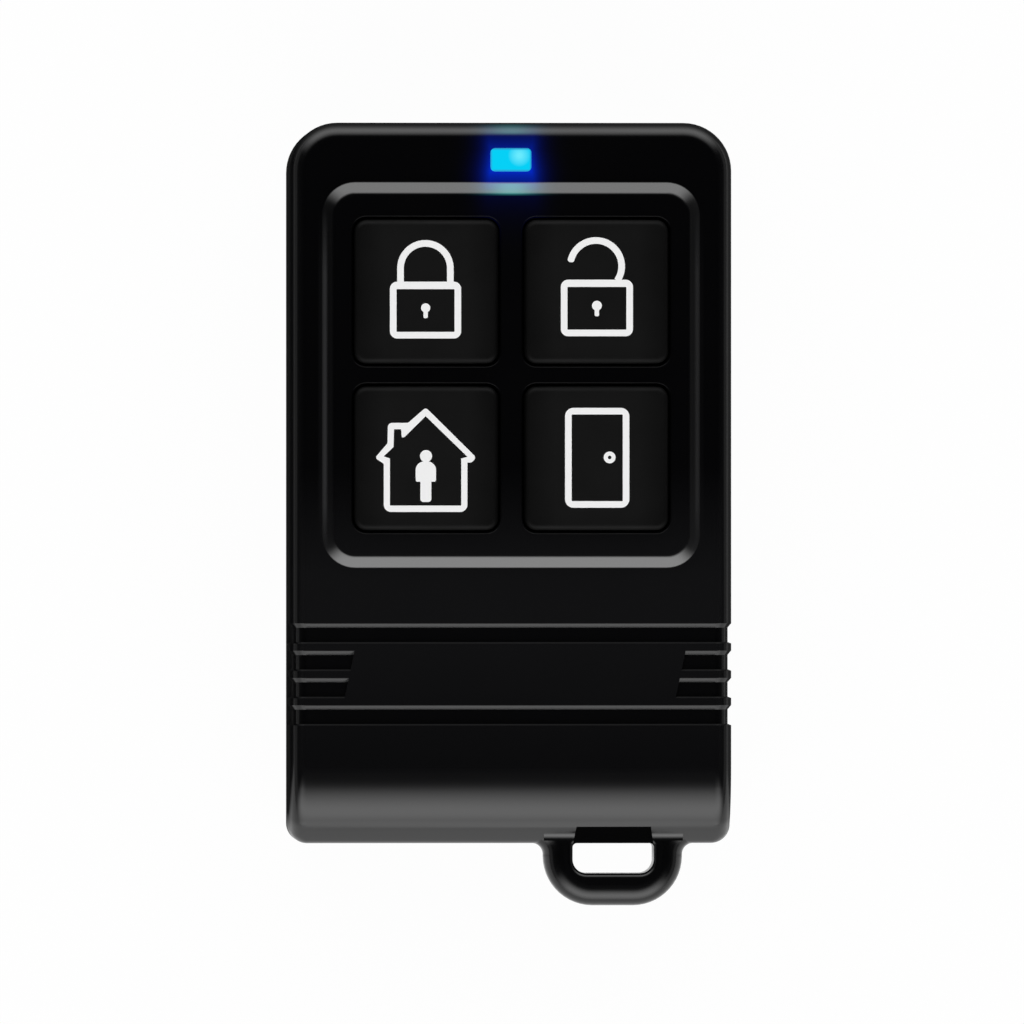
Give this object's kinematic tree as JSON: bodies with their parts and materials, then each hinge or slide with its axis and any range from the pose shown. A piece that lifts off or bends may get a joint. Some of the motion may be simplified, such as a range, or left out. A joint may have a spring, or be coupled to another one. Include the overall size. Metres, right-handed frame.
{
  "type": "car alarm remote",
  "caption": "Flat key fob remote for a car alarm: pictogram keys on a raised panel, lamp window, ribbed waist, keyring loop, and a sliding battery door at the back.",
  "frame": {"origin": "centre of the bounding box in plan, on the flat back that it lies on", "axes": "+Z out of the keys, +Y towards the lamp end, -Y towards the keyring loop, +X to the right seen from the front"},
  "size_m": [0.0368, 0.0652, 0.0145],
  "materials": {
    "shell_black": "polished black ABS moulding",
    "key_rubber": "matt dark silicone rubber",
    "mat_rubber": "matt silicone rubber",
    "lens_blue": "clear moulding lit blue from behind",
    "led_body": "white moulded chip with a clear crown",
    "board": "glass epoxy board with green mask",
    "switch_plastic": "moulded black nylon",
    "switch_steel": "stamped stainless steel",
    "plunger_plastic": "moulded black nylon",
    "solder_tin": "tinned legs",
    "chip_epoxy": "moulded epoxy",
    "can_nickel": "nickel-plated can",
    "chip_ceramic": "fired ceramic",
    "cell_steel": "nickel-plated steel",
    "cell_sleeve": "shrunk grey sleeve",
    "contact_nickel": "nickel-plated spring steel",
    "screw_zinc": "black-zinc steel"
  },
  "bodies": {
    "casing": {"front_shell": "shell_black", "rear_shell": "shell_black", "keypad_mat": "mat_rubber", "indicator_lens": "lens_blue", "indicator_led": "led_body", "circuit_board": "board", "switch_bases": "switch_plastic", "switch_covers": "switch_steel", "switch_legs": "solder_tin", "encoder_chip": "chip_epoxy", "encoder_pins": "solder_tin", "resonator_can": "can_nickel", "rf_transistor": "chip_epoxy", "chip_resistors": "chip_epoxy", "chip_capacitors": "chip_ceramic", "battery_can": "cell_steel", "battery_sleeve": "cell_sleeve", "battery_cap": "cell_steel", "contact_positive": "contact_nickel", "contact_negative": "contact_nickel", "case_screws": "screw_zinc"},
    "lock_key": {"key_lock": "key_rubber"},
    "unlock_key": {"key_unlock": "key_rubber"},
    "home_key": {"key_home": "key_rubber"},
    "door_key": {"key_door": "key_rubber"},
    "lock_plunger": {"plunger_lock": "plunger_plastic"},
    "unlock_plunger": {"plunger_unlock": "plunger_plastic"},
    "home_plunger": {"plunger_home": "plunger_plastic"},
    "door_plunger": {"plunger_door": "plunger_plastic"},
    "rear_door": {"battery_door": "shell_black"}
  },
  "joints": [
    {"name": "key_lock_press", "type": "slide", "parent": "casing", "child": "lock_key", "axis": [0, 0, -1], "range_m": [0, 0.0005], "stiffness_N_per_m": 800, "springref_m": -0.0005},
    {"name": "key_unlock_press", "type": "slide", "parent": "casing", "child": "unlock_key", "axis": [0, 0, -1], "range_m": [0, 0.0005], "stiffness_N_per_m": 800, "springref_m": -0.0005},
    {"name": "key_home_press", "type": "slide", "parent": "casing", "child": "home_key", "axis": [0, 0, -1], "range_m": [0, 0.0005], "stiffness_N_per_m": 800, "springref_m": -0.0005},
    {"name": "key_door_press", "type": "slide", "parent": "casing", "child": "door_key", "axis": [0, 0, -1], "range_m": [0, 0.0005], "stiffness_N_per_m": 800, "springref_m": -0.0005},
    {"name": "plunger_lock_press", "type": "slide", "parent": "casing", "child": "lock_plunger", "axis": [0, 0, -1], "range_m": [0, 0.00025], "stiffness_N_per_m": 100, "springref_m": -0.00025},
    {"name": "plunger_unlock_press", "type": "slide", "parent": "casing", "child": "unlock_plunger", "axis": [0, 0, -1], "range_m": [0, 0.00025], "stiffness_N_per_m": 100, "springref_m": -0.00025},
    {"name": "plunger_home_press", "type": "slide", "parent": "casing", "child": "home_plunger", "axis": [0, 0, -1], "range_m": [0, 0.00025], "stiffness_N_per_m": 100, "springref_m": -0.00025},
    {"name": "plunger_door_press", "type": "slide", "parent": "casing", "child": "door_plunger", "axis": [0, 0, -1], "range_m": [0, 0.00025], "stiffness_N_per_m": 100, "springref_m": -0.00025},
    {"name": "battery_door_slide", "type": "slide", "parent": "casing", "child": "rear_door", "axis": [0, -1, 0], "range_m": [0, 0.012]}
  ],
  "couplings": [
    {"joint": "plunger_lock_press", "follows": "key_lock_press", "ratio": 0.5},
    {"joint": "plunger_unlock_press", "follows": "key_unlock_press", "ratio": 0.5},
    {"joint": "plunger_home_press", "follows": "key_home_press", "ratio": 0.5},
    {"joint": "plunger_door_press", "follows": "key_door_press", "ratio": 0.5}
  ]
}
